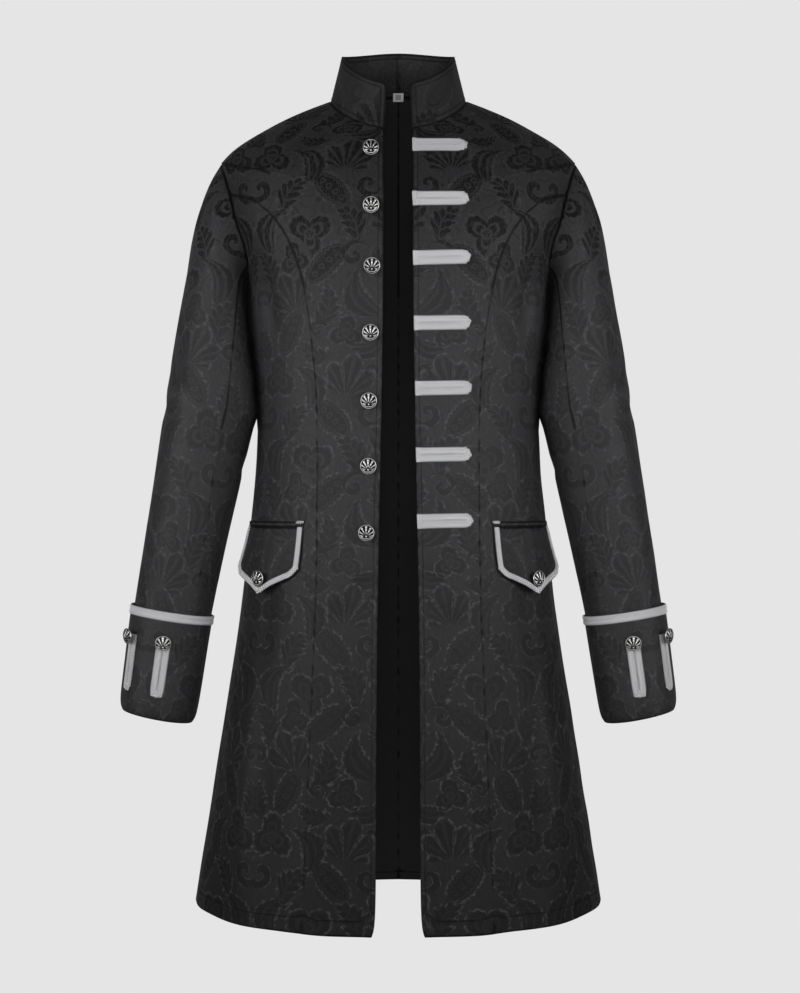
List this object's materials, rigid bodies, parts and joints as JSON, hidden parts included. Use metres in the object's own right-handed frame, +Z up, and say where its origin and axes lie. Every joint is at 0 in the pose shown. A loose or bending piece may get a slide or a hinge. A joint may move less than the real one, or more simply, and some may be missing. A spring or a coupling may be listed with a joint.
{
  "type": "stand-collar frock coat",
  "caption": "Black damask frock coat with a stand collar and turn-back cuffs, worn open and hollow, trimmed with silver braid tabs and domed metal shank buttons.",
  "frame": {"origin": "between the shoulders, level with the neck seam at the side of the neck, where the wearer carries the coat", "axes": "+Z up towards the collar, +X towards the wearer's left sleeve, -Y out of the open front"},
  "size_m": [0.6754, 0.3319, 1.052],
  "materials": {
    "damask": "near-black satin jacquard with leaf and flower motifs",
    "lining": "plain black satin",
    "braid": "silver-white woven braid with a scalloped edge",
    "metal": "antique silver with raised petals and a plain rim",
    "label": "pale woven satin, blank"
  },
  "bodies": {
    "root": {"front_L": "damask", "side_front_L": "damask", "back_L": "damask", "side_back_L": "damask", "sleeve_top_L": "damask", "sleeve_under_L": "damask", "cuff_L": "damask", "cuff_braid_L": "braid", "cuff_tab_front_L": "braid", "cuff_button_front_L": "metal", "cuff_tab_side_L": "braid", "cuff_button_side_L": "metal", "flap_L": "damask", "flap_braid_L": "braid", "flap_button_L": "metal", "flap_welt_L": "damask", "back_lining_L": "lining", "front_R": "damask", "side_front_R": "damask", "back_R": "damask", "side_back_R": "damask", "sleeve_top_R": "damask", "sleeve_under_R": "damask", "cuff_R": "damask", "cuff_braid_R": "braid", "cuff_tab_front_R": "braid", "cuff_button_front_R": "metal", "cuff_tab_side_R": "braid", "cuff_button_side_R": "metal", "flap_R": "damask", "flap_braid_R": "braid", "flap_button_R": "metal", "flap_welt_R": "damask", "back_lining_R": "lining", "collar": "damask", "label": "label", "front_tab_1": "braid", "front_tab_2": "braid", "front_tab_3": "braid", "front_tab_4": "braid", "front_tab_5": "braid", "front_tab_6": "braid", "front_tab_7": "braid", "front_button_1": "metal", "front_button_2": "metal", "front_button_3": "metal", "front_button_4": "metal", "front_button_5": "metal", "front_button_6": "metal", "front_button_7": "metal"}
  },
  "joints": []
}
